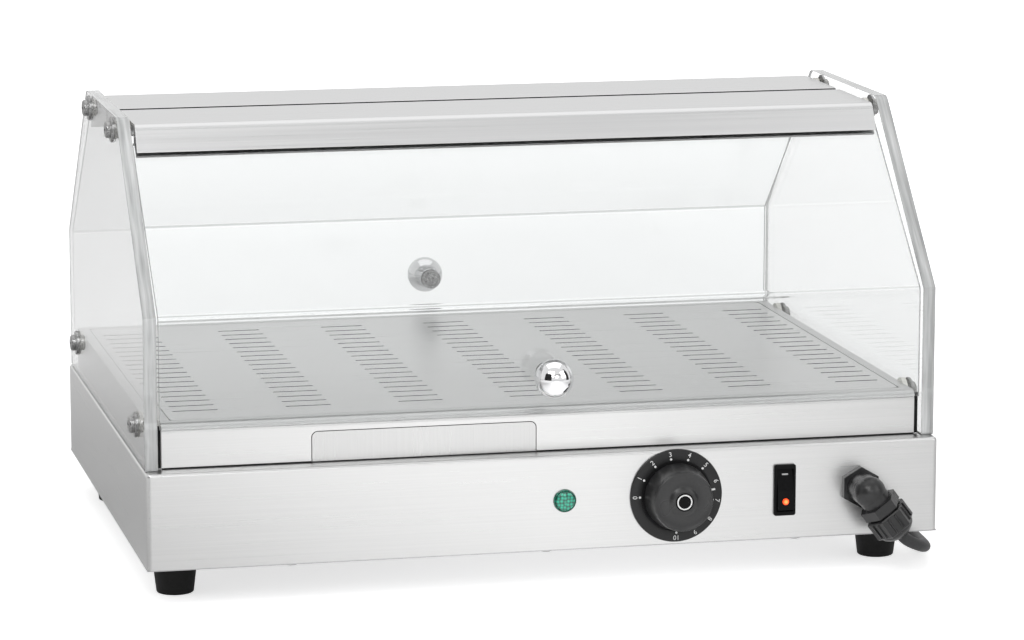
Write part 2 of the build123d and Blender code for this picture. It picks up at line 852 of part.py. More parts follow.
# Every node, one file each
save("base_casing", base_casing())
save("base_plate", base_plate())
save("base_plate_screws", base_plate_screws())
for number, (x, y) in enumerate(foot_places(), 1):
    save(f"foot_{number}", foot(x, y))
save("foot_screws", foot_screws())
save("deck_frame", deck_frame())
save("slotted_tray", slotted_tray())
save("water_pan", water_pan())
save("pan_runner_left", pan_runner(-1))
save("pan_runner_right", pan_runner(1))
save("heating_element_left", heating_element(element_legs[0]))
save("heating_element_right", heating_element(element_legs[1]))
save("element_bushes", element_bushes())
save("element_saddles", element_saddles())
save("sensor_bulb", sensor_bulb())
save("bulb_clip", saddle(bulb_x, bulb_turn_y + 75, bulb_z, 3))
save("thermostat_body", thermostat_body())
save("dial_bezel", dial_bezel())
save("dial_knob", dial_knob())
save("dial_cap", dial_cap())
save("thermostat_shaft", thermostat_shaft())
save("pilot_lens", pilot_lens())
save("pilot_body", pilot_body())
save("switch_frame", switch_frame())
save("switch_body", switch_body())
save("switch_rocker", switch_rocker())
save("rocker_lamp", rocker_lamp())
save("gland_body", gland_body())
save("gland_nut", gland_nut())
save("gland_seal", gland_seal())
save("gland_locknut", gland_locknut())
save("inner_lead", inner_lead())
save("terminal_block", terminal_block())
save("earth_stud", earth_stud())
save("side_panel_left", side_panel(-1))
save("side_panel_right", side_panel(1))
save("panel_washers", washers(panel_holes()))
save("panel_screws", screws(panel_holes(), 22))
save("panel_spacers", spacers(panel_holes(), 0, 8))
save("rivet_nuts", rivet_nuts())
save("pivot_washers", washers(pivot_holes()))
save("pivot_screws", screws(pivot_holes(), 30))
save("pivot_spacers", spacers(pivot_holes(), body_gap, 6))
for place in ("front", "rear"):
    pieces = {
        "flap_sheet": flap_sheet(),
        "flap_head": flap_head(),
        "flap_knob": flap_knob(),
        "knob_screw": knob_screw(),
    }
    for name, shape in pieces.items():
        if place == "rear":
            shape = mirror(shape, Plane.XZ)
        save(f"{name}_{place}", shape)
save("cord", cord_tube(cord_route, "cord"))
save("cord_coil", cord_coil())
save("cord_tail", cord_tube(tail_route, "tail"))
save("coil_tie", coil_tie())
save("plug_body", plug_body())
save("plug_pins", plug_pins())
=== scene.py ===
import math
import bpy
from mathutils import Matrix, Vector


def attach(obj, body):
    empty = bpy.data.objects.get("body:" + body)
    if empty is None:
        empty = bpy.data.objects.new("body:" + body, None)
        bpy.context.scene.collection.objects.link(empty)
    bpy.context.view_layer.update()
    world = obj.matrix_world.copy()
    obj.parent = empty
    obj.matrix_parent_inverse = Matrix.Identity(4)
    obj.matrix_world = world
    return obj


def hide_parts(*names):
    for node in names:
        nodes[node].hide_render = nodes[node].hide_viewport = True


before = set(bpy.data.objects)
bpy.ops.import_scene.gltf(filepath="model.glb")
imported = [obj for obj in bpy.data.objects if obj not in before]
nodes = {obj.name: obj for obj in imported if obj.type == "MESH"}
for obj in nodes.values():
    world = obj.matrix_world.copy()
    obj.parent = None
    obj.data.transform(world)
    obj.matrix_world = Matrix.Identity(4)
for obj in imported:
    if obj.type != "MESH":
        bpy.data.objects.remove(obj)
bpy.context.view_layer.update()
print("frame loaded,", len(nodes), "CAD nodes")

# Camera: the photograph's own viewing angle
camera = {
    "place": (-0.60269, -2.69601, 0.63549),
    "azimuth": -12.97,
    "pitch": 10.22,
    "lens": 151.07,
    "sensor": 36,
    "reach": 50,
}


def addCamera():
    turn = math.radians(camera["azimuth"])
    rise = math.radians(camera["pitch"])
    level = math.cos(rise)
    back = Vector((math.sin(turn) * level, -math.cos(turn) * level, math.sin(rise)))
    data = bpy.data.cameras.new("camera")
    data.lens = camera["lens"]
    data.sensor_width = camera["sensor"]
    data.clip_end = camera["reach"]
    obj = bpy.data.objects.new("camera", data)
    bpy.context.scene.collection.objects.link(obj)
    obj.location = camera["place"]
    obj.rotation_mode = "QUATERNION"
    obj.rotation_quaternion = (-back).to_track_quat("-Z", "Y")
    bpy.context.scene.camera = obj


addCamera()
print("camera set")


# Mains cord: one line from the gland, along the floor behind the base, into its coil and out to the plug
cord = {
    "radius": 0.00375,
    "length": 1.5,
    "route": [
        (0.2197, -0.2045, 0.0293),
        (0.2221, -0.2045, 0.0261),
        (0.228, -0.2033, 0.0226),
        (0.2346, -0.2002, 0.0196),
        (0.2395, -0.1935, 0.0176),
        (0.2436, -0.18, 0.0148),
        (0.2508, -0.157, 0.01),
        (0.2583, -0.131, 0.005),
        (0.262, -0.096, 0.0041),
        (0.263, -0.05, 0.00395),
        (0.2612, 0.008, 0.00395),
        (0.2638, 0.072, 0.00395),
        (0.2616, 0.13, 0.00395),
        (0.2629, 0.173, 0.00395),
    ],
    "coilTurns": 4.25,
    "coilInner": 0.029,
    "coilPitch": 0.0082,
    "coilStart": (0.262, 0.25, 0.00465),
    "pointsPerTurn": 24,
    "easeTurns": 0.25,  # either side of the coil's middle, where it turns outward and climbs
    "entryRun": 0.034,
    "tailRun": 0.009,
    "tailLift": (-0.013, 0.0016, 0.0022),
    "plugBehind": 0.0024,
    "plugAxisZ": 0.0183,
    "plugDrop": 0.0006,
    "plugReach": (0.026, 0.037),  # where the cord comes level, and where it meets the plug
}


# The coil winds in for half its turns, climbs a layer in half a turn, and winds out again
def coilRadius(turn):
    off = abs(turn - cord["coilTurns"] / 2)
    ease = cord["easeTurns"]
    if off < ease:
        off = off ** 2 / (2 * ease) + ease / 2
    return cord["coilInner"] + cord["coilPitch"] * off


def coilPoint(turn, swell=1.0):
    startX, centreY, floorZ = cord["coilStart"]
    centreX = startX - coilRadius(0)
    angle = 2 * math.pi * turn
    ease = cord["easeTurns"]
    share = min(1, max(0, (turn - cord["coilTurns"] / 2 + ease) / (2 * ease)))
    height = floorZ + cord["coilPitch"] * share * share * (3 - 2 * share)
    reach = coilRadius(turn) * swell
    return Vector((centreX + reach * math.cos(angle), centreY + reach * math.sin(angle), height))


def coilHeading(turn, step=0.001):
    return (coilPoint(turn + step) - coilPoint(turn - step)).normalized()


def cordPoints():
    points = [Vector(point) for point in cord["route"]]
    lead = 2 * cord["radius"]
    headIn = coilHeading(0)
    entry = coilPoint(0) - headIn * lead
    points += [entry - headIn * cord["entryRun"], entry]
    count = round(cord["coilTurns"] * cord["pointsPerTurn"])
    half = math.pi / cord["pointsPerTurn"]
    swell = 4 / (3 + math.cos(2 * half))  # the spline runs inside its points by this share
    points += [coilPoint(cord["coilTurns"] * step / count, swell) for step in range(count + 1)]
    headOut = coilHeading(cord["coilTurns"])
    tail = coilPoint(cord["coilTurns"]) + headOut * lead
    bend = tail + headOut * cord["tailRun"]
    plugY = bend.y + cord["plugBehind"]
    plugZ = cord["plugAxisZ"]
    level, plug = cord["plugReach"]
    points += [tail, bend, bend + Vector(cord["tailLift"])]
    points.append(Vector((bend.x - level, plugY, plugZ - cord["plugDrop"])))
    points.append(Vector((bend.x - plug, plugY, plugZ)))
    return points


def makeCord():
    points = cordPoints()
    curve = bpy.data.curves.new("mains_cord", "CURVE")
    curve.dimensions = "3D"
    curve.bevel_depth = 1  # each point's radius gives the real thickness
    curve.bevel_resolution = 6
    curve.resolution_u = 8
    curve.use_fill_caps = True
    spline = curve.splines.new("NURBS")
    spline.points.add(len(points) - 1)
    for slot, point in zip(spline.points, points):
        slot.co = (*point, 1)
        slot.radius = cord["radius"]
    spline.order_u = 3
    spline.use_endpoint_u = True
    obj = bpy.data.objects.new("mains_cord", curve)
    bpy.context.scene.collection.objects.link(obj)
    return obj


mainsCord = makeCord()
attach(mainsCord, "base")
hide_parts("cord", "cord_coil", "cord_tail")
print("cord laid")


# Material helpers
def newMaterial(name, color, roughness, metallic=0.0):
    material = bpy.data.materials.new(name)
    material.use_nodes = True
    shader = material.node_tree.nodes["Principled BSDF"]
    shader.inputs["Base Color"].default_value = (*color, 1)
    shader.inputs["Roughness"].default_value = roughness
    shader.inputs["Metallic"].default_value = metallic
    return material, shader


def addNode(material, kind, **values):
    node = material.node_tree.nodes.new(kind)
    for name, value in values.items():
        setattr(node, name, value)
    return node


def link(material, source, target):
    material.node_tree.links.new(source, target)


def noise(material, scale, detail=3, stretch=(1, 1, 1), roughness=0.5):
    coords = addNode(material, "ShaderNodeTexCoord")
    mapping = addNode(material, "ShaderNodeMapping")
    mapping.inputs["Scale"].default_value = stretch
    pattern = addNode(material, "ShaderNodeTexNoise")
    pattern.inputs["Scale"].default_value = scale
    pattern.inputs["Detail"].default_value = detail
    pattern.inputs["Roughness"].default_value = roughness
    link(material, coords.outputs["Object"], mapping.inputs["Vector"])
    link(material, mapping.outputs["Vector"], pattern.inputs["Vector"])
    return pattern.outputs["Fac"]


def spread(material, source, low, high, fromLow=0.3, fromHigh=0.7):
    node = addNode(material, "ShaderNodeMapRange")
    node.inputs["From Min"].default_value = fromLow
    node.inputs["From Max"].default_value = fromHigh
    node.inputs["To Min"].default_value = low
    node.inputs["To Max"].default_value = high
    link(material, source, node.inputs["Value"])
    return node.outputs["Result"]


def blendColors(material, factor, first, second):
    node = addNode(material, "ShaderNodeMix", data_type="RGBA")
    node.inputs["A"].default_value = (*first, 1)
    node.inputs["B"].default_value = (*second, 1)
    link(material, factor, node.inputs["Factor"])
    return node.outputs["Result"]


def addBump(material, shader, height, strength, distance):
    node = addNode(material, "ShaderNodeBump")
    node.inputs["Strength"].default_value = strength
    node.inputs["Distance"].default_value = distance
    link(material, height, node.inputs["Height"])
    link(material, node.outputs["Normal"], shader.inputs["Normal"])


def mixValues(material, factor, first, second):
    node = addNode(material, "ShaderNodeMix", data_type="FLOAT")
    link(material, factor, node.inputs["Factor"])
    link(material, first, node.inputs["A"])
    link(material, second, node.inputs["B"])
    return node.outputs["Result"]


def distanceFrom(material, spot, stretch=(1, 1, 1)):
    coords = addNode(material, "ShaderNodeTexCoord")
    mapping = addNode(material, "ShaderNodeMapping")
    mapping.inputs["Scale"].default_value = stretch
    node = addNode(material, "ShaderNodeVectorMath", operation="DISTANCE")
    link(material, coords.outputs["Object"], mapping.inputs["Vector"])
    link(material, mapping.outputs["Vector"], node.inputs[0])
    node.inputs[1].default_value = spot
    return node.outputs["Value"]


def multiply(material, first, second):
    node = addNode(material, "ShaderNodeMath", operation="MULTIPLY")
    link(material, first, node.inputs[0])
    link(material, second, node.inputs[1])
    return node.outputs["Value"]


# Brushed sheet steel: streaks run level on the front and top, and along the depth on the ends
steel = {
    "roughness": (0.26, 0.38),
    "across": 900,  # how fine the streaks are, and how long
    "along": 6,
    "detail": 4,
    "contrast": 0.7,
    "endNormal": (0.45, 0.55),
    "streakTone": (0.1, 0.6),
    "cloudSize": 9,
    "cloudTone": 0.3,
    "bump": (0.05, 0.00006),
}


# On an upright sheet, such as the pan's front, the streaks on the face run up and down
def brushedSteel(name, dark, light, upright=False):
    material, shader = newMaterial(name, light, steel["roughness"][0], 1.0)
    fine, long = steel["across"], steel["along"]
    other = (fine, fine, long) if upright else (fine, long, fine)
    alongX = noise(material, 1, steel["detail"], (long, fine, fine), steel["contrast"])
    alongOther = noise(material, 1, steel["detail"], other, steel["contrast"])
    coords = addNode(material, "ShaderNodeTexCoord")
    split = addNode(material, "ShaderNodeSeparateXYZ")
    link(material, coords.outputs["Normal"], split.inputs["Vector"])
    side = split.outputs["Y"] if upright else split.outputs["X"]
    onEnds = spread(material, multiply(material, side, side), 0, 1, *steel["endNormal"])
    streaks = mixValues(material, onEnds, alongX, alongOther)
    tone = addNode(material, "ShaderNodeMath", operation="MULTIPLY_ADD")
    link(material, noise(material, steel["cloudSize"]), tone.inputs[0])
    tone.inputs[1].default_value = steel["cloudTone"]
    link(material, spread(material, streaks, *steel["streakTone"]), tone.inputs[2])
    link(material, blendColors(material, tone.outputs["Value"], dark, light), shader.inputs["Base Color"])
    link(material, spread(material, streaks, *steel["roughness"]), shader.inputs["Roughness"])
    addBump(material, shader, streaks, *steel["bump"])
    return material


# A metal whose tone and roughness follow one pattern
def patternedMetal(name, pattern, dark, light, roughness, bump=None):
    material, shader = newMaterial(name, light, roughness[0], 1.0)
    grain = noise(material, **pattern)
    link(material, blendColors(material, grain, dark, light), shader.inputs["Base Color"])
    link(material, spread(material, grain, *roughness), shader.inputs["Roughness"])
    if bump:
        addBump(material, shader, grain, *bump)
    return material


def fastenerSteel(name):
    fine = {"scale": 260, "detail": 2}
    return patternedMetal(name, fine, (0.22, 0.22, 0.22), (0.46, 0.46, 0.457), (0.2, 0.32), (0.03, 0.00005))


def anodisedAluminium(name):
    lines = {"scale": 1, "stretch": (3, 1500, 1500), "roughness": 0.6}
    return patternedMetal(name, lines, (0.6, 0.603, 0.606), (0.7, 0.7, 0.7), (0.26, 0.4), (0.08, 0.00005))


def heatTint(name):
    return patternedMetal(name, {"scale": 60}, (0.3, 0.24, 0.2), (0.42, 0.4, 0.4), (0.32, 0.5))


def metalTone(name, dark, light, roughness):
    return patternedMetal(name, {"scale": 500}, dark, light, (roughness - 0.05, roughness + 0.1))


def chromePlate(name):
    material, shader = newMaterial(name, (0.9, 0.9, 0.91), 0.04, 1.0)
    link(material, spread(material, noise(material, 120), low=0.02, high=0.07), shader.inputs["Roughness"])
    return material


acrylic = {
    "flapTint": (0.82, 0.828, 0.828),
    "panelTint": (0.988, 0.99, 0.99),
    "indexOfRefraction": 1.49,
    "hazeSize": 35,
    "haze": (0.0, 0.015),
    "lampTint": (0.97, 0.98, 0.98),
    # the rim's tones and streaks: painted light with painted reflection streaks
    "edgeDark": (0.42, 0.43, 0.43),
    "edgeLight": (0.95, 0.96, 0.96),
    "edgeClear": 0.35,
    "paintedReflectionStreaks": (260, 14, 14),
    "edgeRoughness": (0.06, 0.2),
}


# Clear acrylic lets lamps through, so what stands inside is lit
def clearAcrylic(name, tint):
    material, shader = newMaterial(name, tint, acrylic["haze"][0])
    shader.inputs["Transmission Weight"].default_value = 1.0
    shader.inputs["IOR"].default_value = acrylic["indexOfRefraction"]
    haze = noise(material, acrylic["hazeSize"], detail=2)
    link(material, spread(material, haze, *acrylic["haze"]), shader.inputs["Roughness"])
    clear = addNode(material, "ShaderNodeBsdfTransparent")
    clear.inputs["Color"].default_value = (*acrylic["lampTint"], 1)
    rays = addNode(material, "ShaderNodeLightPath")
    mix = addNode(material, "ShaderNodeMixShader")
    output = material.node_tree.nodes["Material Output"]
    link(material, rays.outputs["Is Shadow Ray"], mix.inputs["Fac"])
    link(material, shader.outputs["BSDF"], mix.inputs[1])
    link(material, clear.outputs["BSDF"], mix.inputs[2])
    link(material, mix.outputs["Shader"], output.inputs["Surface"])
    return material


# The polished rim of an acrylic sheet, pale with painted light and with long streaks of painted reflection
def polishedEdge(name):
    dark, light = acrylic["edgeDark"], acrylic["edgeLight"]
    material, shader = newMaterial(name, light, acrylic["edgeRoughness"][0])
    shader.inputs["Transmission Weight"].default_value = acrylic["edgeClear"]
    shader.inputs["IOR"].default_value = acrylic["indexOfRefraction"]
    streaks = noise(material, 1, stretch=acrylic["paintedReflectionStreaks"], roughness=0.6)
    color = blendColors(material, spread(material, streaks, 0, 1), dark, light)
    link(material, color, shader.inputs["Base Color"])
    link(material, spread(material, streaks, *acrylic["edgeRoughness"]), shader.inputs["Roughness"])
    return material


# Moulded plastic: its tone wavers a little with the grain, and its sheen with a slow cloud
moulding = {
    "darker": 0.8,
    "lighter": 1.3,
    "palest": 0.004,
    "cloudSize": 40,
    "sheen": (-0.06, 0.08),
    "bumpHeight": 0.00015,
}


def mouldedPlastic(name, color, roughness, grainSize=900, bump=0.12, gloss=0.5):
    material, shader = newMaterial(name, color, roughness)
    shader.inputs["Specular IOR Level"].default_value = gloss
    grain = noise(material, grainSize)
    dark = tuple(moulding["darker"] * c for c in color)
    light = tuple(min(1, moulding["lighter"] * c + moulding["palest"]) for c in color)
    link(material, blendColors(material, grain, dark, light), shader.inputs["Base Color"])
    cloud = noise(material, moulding["cloudSize"], detail=2)
    smooth, matt = (roughness + shift for shift in moulding["sheen"])
    link(material, spread(material, cloud, smooth, matt), shader.inputs["Roughness"])
    addBump(material, shader, grain, bump, moulding["bumpHeight"])
    return material


cells = {
    "size": 480,
    "disorder": 0.35,
    "rim": (0.12, 0.62),
    "bump": (0.5, 0.0004),
    "roughness": 0.14,
    "coat": 0.8,
}


# The moulded cells inside the pilot lens sparkle through its clear face
def cellLens(name, dark, light, glow):
    material, shader = newMaterial(name, light, cells["roughness"])
    shader.inputs["Coat Weight"].default_value = cells["coat"]
    coords = addNode(material, "ShaderNodeTexCoord")
    pattern = addNode(material, "ShaderNodeTexVoronoi")
    pattern.inputs["Scale"].default_value = cells["size"]
    pattern.inputs["Randomness"].default_value = cells["disorder"]
    link(material, coords.outputs["Object"], pattern.inputs["Vector"])
    share = spread(material, pattern.outputs["Distance"], 1, 0, *cells["rim"])
    color = blendColors(material, share, dark, light)
    link(material, color, shader.inputs["Base Color"])
    link(material, color, shader.inputs["Emission Color"])
    shader.inputs["Emission Strength"].default_value = glow
    addBump(material, shader, pattern.outputs["Distance"], *cells["bump"])
    return material


rockerGlow = {
    "spot": (0.15, -0.1878, 0.0493),
    "color": (0.95, 0.07, 0.01),
    "core": (1.0, 0.5, 0.12),
    "reach": (0.0004, 0.0017),
    "strength": 0.75,
    "roughness": 0.15,
}


# A lamp behind a coloured lens: pale where the lamp is, the lens colour round it
def glowLens(name, spot, color, core):
    material, shader = newMaterial(name, color, rockerGlow["roughness"])
    near = spread(material, distanceFrom(material, spot), 1, 0, *rockerGlow["reach"])
    shade = blendColors(material, near, color, core)
    link(material, shade, shader.inputs["Base Color"])
    link(material, shade, shader.inputs["Emission Color"])
    shader.inputs["Emission Strength"].default_value = rockerGlow["strength"]
    addBump(material, shader, noise(material, 900, detail=2), strength=0.1, distance=0.0002)
    return material


finishes = {
    "casingSteel": brushedSteel("casing_steel", (0.63, 0.63, 0.628), (0.73, 0.73, 0.727)),
    "frameSteel": brushedSteel("frame_steel", (0.64, 0.64, 0.637), (0.74, 0.74, 0.737)),
    "deckSteel": brushedSteel("deck_steel", (0.72, 0.718, 0.714), (0.83, 0.827, 0.822)),
    "panSteel": brushedSteel("pan_steel", (0.55, 0.55, 0.547), (0.67, 0.67, 0.667), upright=True),
    "plainSteel": metalTone("plain_steel", (0.42, 0.42, 0.43), (0.56, 0.56, 0.56), 0.35),
    "fastener": fastenerSteel("bright_fastener"),
    "chrome": chromePlate("chrome_plate"),
    "anodised": anodisedAluminium("anodised_head"),
    "acrylic": clearAcrylic("clear_flap", acrylic["flapTint"]),
    "panelAcrylic": clearAcrylic("clear_panel", acrylic["panelTint"]),
    # rim finish with painted light and painted reflection streaks
    "polishedEdge": polishedEdge("acrylic_rim_painted_glow"),
    "blackPlastic": mouldedPlastic("black_moulding", (0.015, 0.015, 0.0155), 0.32, gloss=0.55),
    "blackScale": mouldedPlastic("black_scale", (0.012, 0.012, 0.0125), 0.36, gloss=0.34),
    "blackGloss": mouldedPlastic("black_gloss", (0.0025, 0.0025, 0.0028), 0.22, 400, 0.04, 0.09),
    "rubber": mouldedPlastic("black_rubber", (0.012, 0.012, 0.012), 0.6, 600, 0.25, 0.2),
    "cableJacket": mouldedPlastic("cable_jacket", (0.03, 0.03, 0.031), 0.5, 700, 0.2, 0.4),
    "glandPlastic": mouldedPlastic("gland_moulding", (0.014, 0.014, 0.0145), 0.26, 500, 0.06, 0.5),
    "greenLens": cellLens("green_lens", (0.0, 0.06, 0.04), (0.02, 0.5, 0.32), 0.2),
    "greenRim": cellLens("green_rim", (0.0, 0.06, 0.04), (0.0, 0.16, 0.1), 0.02),
    "redLens": glowLens("red_lens", rockerGlow["spot"], rockerGlow["color"], rockerGlow["core"]),
    "greyPrint": mouldedPlastic("grey_print", (0.42, 0.42, 0.42), 0.5),
    "whitePrint": mouldedPlastic("white_print", (0.85, 0.85, 0.84), 0.5),
    # painted shade: a near-black finish laid where shade falls, in the head groove, on the slot walls and in
    # the gaps along the apron
    "paintedGapShade": mouldedPlastic("painted_gap_shade", (0.012, 0.012, 0.012), 0.7, gloss=0.1),
    "element": heatTint("element_tube"),
    "ceramic": mouldedPlastic("ceramic_bush", (0.8, 0.77, 0.7), 0.5),
    "copper": metalTone("copper", (0.55, 0.28, 0.17), (0.8, 0.47, 0.32), 0.3),
    "brass": metalTone("plated_brass", (0.55, 0.5, 0.36), (0.75, 0.7, 0.52), 0.25),
    "paleNylon": mouldedPlastic("pale_nylon", (0.72, 0.71, 0.67), 0.45),
}

nodeFinishes = {
    "casingSteel": ["base_casing"],
    "frameSteel": ["deck_frame"],
    "deckSteel": ["slotted_tray"],
    "panSteel": ["water_pan"],
    "plainSteel": ["base_plate", "pan_runner_left", "pan_runner_right", "element_saddles", "bulb_clip"],
    "fastener": ["base_plate_screws", "foot_screws", "panel_washers", "panel_screws", "rivet_nuts",
                 "pivot_washers", "pivot_screws", "knob_screw_front", "knob_screw_rear"],
    "chrome": ["flap_knob_front", "flap_knob_rear"],
    "anodised": ["flap_head_front", "flap_head_rear"],
    "acrylic": ["flap_sheet_front", "flap_sheet_rear"],
    "panelAcrylic": ["side_panel_left", "side_panel_right"],
    "blackPlastic": ["thermostat_body", "dial_bezel", "dial_knob", "dial_cap", "pilot_body", "switch_body",
                     "gland_locknut", "plug_body", "coil_tie"],
    "glandPlastic": ["gland_body", "gland_nut"],
    "blackGloss": ["switch_frame", "switch_rocker"],
    "rubber": ["foot_1", "foot_2", "foot_3", "foot_4", "gland_seal"],
    "cableJacket": ["cord", "cord_coil", "cord_tail", "inner_lead"],
    "greenLens": ["pilot_lens"],
    "redLens": ["rocker_lamp"],
    "element": ["heating_element_left", "heating_element_right"],
    "ceramic": ["element_bushes"],
    "copper": ["sensor_bulb"],
    "brass": ["thermostat_shaft", "earth_stud", "plug_pins"],
    "paleNylon": ["terminal_block", "panel_spacers", "pivot_spacers"],
}

for finish, names in nodeFinishes.items():
    for name in names:
        nodes[name].data.materials.clear()
        nodes[name].data.materials.append(finishes[finish])
print("CAD nodes finished")


# Modelling helpers
def startEdit():
    bpy.ops.object.mode_set(mode="EDIT")


def endEdit():
    bpy.ops.object.mode_set(mode="OBJECT")


def clearSelection():
    bpy.ops.object.select_all(action="DESELECT")


def place(obj, name, spot, turn, material, body):
    clearSelection()
    bpy.context.view_layer.objects.active = obj
    obj.select_set(True)
    obj.name = name
    obj.rotation_euler = turn
    obj.location = spot
    bpy.ops.object.transform_apply(location=True, rotation=True, scale=True)
    obj.data.materials.clear()
    obj.data.materials.append(finishes[material])
    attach(obj, body)
    return obj


# Rounds the long edges that run across the object at one depth and height
def roundCorner(obj, y, z, radius, near=0.0002):
    endEdit()
    for face in obj.data.polygons:
        face.select = False
    for vertex in obj.data.vertices:
        vertex.select = False
    for edge in obj.data.edges:
        ends = [obj.data.vertices[index].co for index in edge.vertices]
        close = all(abs(end.y - y) < near and abs(end.z - z) < near for end in ends)
        edge.select = close and abs(ends[0].x - ends[1].x) > 0.001
    startEdit()
    bpy.ops.mesh.select_mode(type="EDGE")
    bpy.ops.mesh.bevel(offset=radius, segments=6, affect="EDGES")
    bpy.ops.mesh.select_mode(type="VERT")


# A sheet's own copy: its edges are eased to catch the light, and its broad faces stay flat
def easedCopy(name, source, material, body, edge, corners=()):
    width, segments, sharpest = edge
    clearSelection()
    obj = bpy.data.objects.new(name, nodes[source].data.copy())
    bpy.context.scene.collection.objects.link(obj)
    bpy.context.view_layer.objects.active = obj
    obj.select_set(True)
    startEdit()
    bpy.ops.mesh.select_all(action="SELECT")
    bpy.ops.mesh.remove_doubles(threshold=0.00002)
    bpy.ops.mesh.dissolve_limited(angle_limit=math.radians(1))
    for y, z, radius in corners:
        roundCorner(obj, y, z, radius)
    endEdit()
    edges = obj.modifiers.new("edges", "BEVEL")
    edges.width = width
    edges.segments = segments
    edges.angle_limit = math.radians(sharpest)
    bpy.ops.object.modifier_apply(modifier="edges")
    bpy.ops.object.shade_smooth()
    even = obj.modifiers.new("even", "WEIGHTED_NORMAL")
    even.weight = 100
    bpy.ops.object.modifier_apply(modifier="even")
    place(obj, name, (0, 0, 0), (0, 0, 0), material, body)
    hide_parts(source)
    return obj


# Gives the faces that a test picks out a second finish
def refinish(obj, finish, picked):
    obj.data.materials.append(finishes[finish])
    for face in obj.data.polygons:
        face.material_index = 1 if picked(face.center, face.normal) else 0


faceFront = (math.radians(90), 0, 0)  # a piece made upright turns to face the front


# A turned piece: a disc drawn out ring by ring, each ring (radius, height) in millimetres
def turned(name, rings, spot, turn, material, body, steps=96, smooth=30):
    clearSelection()
    firstRadius, firstHeight = rings[0]
    bpy.ops.mesh.primitive_circle_add(
        vertices=steps, radius=firstRadius / 1000, fill_type="NGON", location=(0, 0, 0))
    obj = bpy.context.object
    startEdit()
    bpy.ops.mesh.select_all(action="SELECT")
    bpy.ops.transform.translate(value=(0, 0, firstHeight / 1000))
    for (wide, low), (nextWide, high) in zip(rings, rings[1:]):
        bpy.ops.mesh.extrude_region_move(TRANSFORM_OT_translate={"value": (0, 0, (high - low) / 1000)})
        share = nextWide / wide
        bpy.ops.transform.resize(value=(share, share, 1), center_override=(0, 0, high / 1000))
    bpy.ops.mesh.select_all(action="SELECT")
    bpy.ops.mesh.normals_make_consistent(inside=False)
    endEdit()
    bpy.ops.object.shade_smooth_by_angle(angle=math.radians(smooth))
    return place(obj, name, spot, turn, material, body)


# A bar with rounded edges, spun about its own upright axis before it is turned and placed
def smallBar(name, size, spot, turn, material, body, round=0.0002, spin=0.0):
    clearSelection()
    bpy.ops.mesh.primitive_cube_add(size=1, location=(0, 0, 0))
    obj = bpy.context.object
    obj.scale = size
    obj.rotation_euler = (0, 0, spin)
    bpy.ops.object.transform_apply(location=False, rotation=True, scale=True)
    startEdit()
    bpy.ops.mesh.select_all(action="SELECT")
    bpy.ops.mesh.bevel(offset=round, segments=3, affect="EDGES")
    endEdit()
    bpy.ops.object.shade_smooth_by_angle(angle=math.radians(30))
    return place(obj, name, spot, turn, material, body)


# Acrylic sheets: clear broad faces and a polished rim with painted light and painted reflection
sheets = {
    "pieces": {
        "panel_left": ("side_panel_left", "panelAcrylic", "base"),
        "panel_right": ("side_panel_right", "panelAcrylic", "base"),
        "flap_pane_front": ("flap_sheet_front", "acrylic", "front_flap"),
        "flap_pane_rear": ("flap_sheet_rear", "acrylic", "rear_flap"),
    },
    "edge": (0.0005, 2, 40),  # width, segments and least angle
    "broadShare": 0.2,  # a face is broad from this share of the largest one's area
    "alike": 0.7,
}


def polishRim(obj):
    largest = max(face.area for face in obj.data.polygons)
    least = sheets["broadShare"] * largest
    broad = [face.normal.copy() for face in obj.data.polygons if face.area > least]

    def onRim(spot, normal):
        return max(abs(normal.dot(other)) for other in broad) <= sheets["alike"]

    refinish(obj, "polishedEdge", onRim)


for name, (source, material, body) in sheets["pieces"].items():
    polishRim(easedCopy(name, source, material, body, sheets["edge"]))
print("acrylic sheets made")

# Heads: rounded along the nose and beside the groove, whose inner faces carry painted shade
heads = {
    "edge": (0.0004, 3, 30),
    "nose": (0.0752, 0.283, 0.0032),  # depth, height and radius of the outer corner
    "groove": (0.0035, 0.283, 0.0012),
    "grooveReach": 0.0042,
    "upright": 0.7,
}


# picks the groove's inner faces, which are given painted shade
def inGroove(spot, normal):
    return abs(spot.y) < heads["grooveReach"] and abs(normal.y) > heads["upright"]


def makeHead(side, turn):
    corners = [(turn * depth, height, radius) for depth, height, radius in (heads["nose"], heads["groove"])]
    head = easedCopy(f"head_{side}", f"flap_head_{side}", "anodised", f"{side}_flap", heads["edge"], corners)
    refinish(head, "paintedGapShade", inGroove)


makeHead("front", -1)
makeHead("rear", 1)
print("heads made")

# Deck: painted shade on the slot walls, near-black strips as painted shade along the apron's foot and at its
# ends, and a lip closes the pan's front
deck = {
    "edge": (0.0003, 3, 30),
    "slotReach": (0.225, 0.145),
    "wallTilt": 0.5,
    "seamEnds": {"left": (-0.2385, -0.1465), "right": (-0.0055, 0.2385)},
    "seam": (0.0008, 0.0009),
    "seamSpot": (-0.1704, 0.08545),
    "lip": (0.14, 0.0012, 0.0016),
    "lipSpot": (-0.076, -0.1699, 0.0864),
    "endShadeSize": (0.0024, 0.0016, 0.026),
    "endShadeSpot": (0.24, -0.1685, 0.0985),
}


# picks the slot walls, which are given painted shade
def inSlots(spot, normal):
    reachX, reachY = deck["slotReach"]
    return abs(normal.z) < deck["wallTilt"] and abs(spot.x) < reachX and abs(spot.y) < reachY


